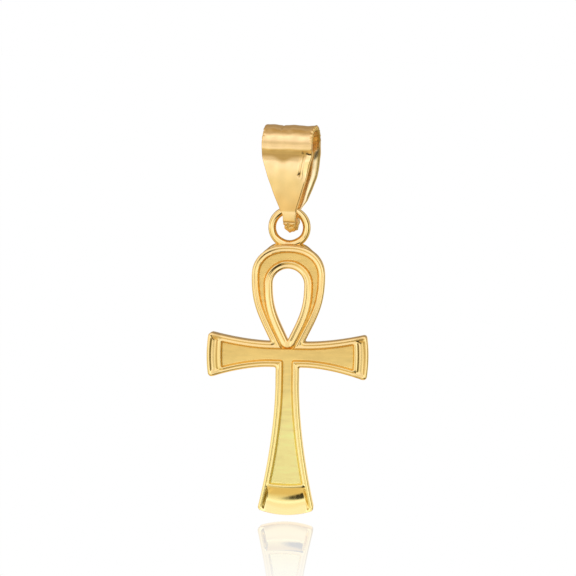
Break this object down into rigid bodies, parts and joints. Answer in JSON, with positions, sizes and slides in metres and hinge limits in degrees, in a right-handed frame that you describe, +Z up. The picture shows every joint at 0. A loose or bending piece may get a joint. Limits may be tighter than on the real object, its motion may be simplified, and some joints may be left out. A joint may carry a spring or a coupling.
{
  "type": "ankh pendant",
  "caption": "Flat cast ankh with a teardrop loop, flared arms and raised double rims round a sunk field, hung by a soldered ring from a folded sheet bail that takes a chain.",
  "frame": {"origin": "middle of the bail's channel, where the chain lies", "axes": "+Z up along the hanging pendant, the ankh's front looks towards -Y, +X to the right seen from the front"},
  "size_m": [0.0125, 0.0036, 0.0302],
  "materials": {
    "casting_gold": "cast yellow gold, polished rims and hollows round a satin field",
    "bail_gold": "polished sheet, a rosier gold, with a rough soldered tip"
  },
  "bodies": {
    "bail": {"bail": "bail_gold"},
    "ankh": {"ankh": "casting_gold"}
  },
  "joints": [
    {"name": "ankh_swing", "type": "hinge", "parent": "bail", "child": "ankh", "pos_m": [-0.00006, 0, -0.00506], "axis": [1, 0, 0], "range_deg": [-60, 60]}
  ]
}
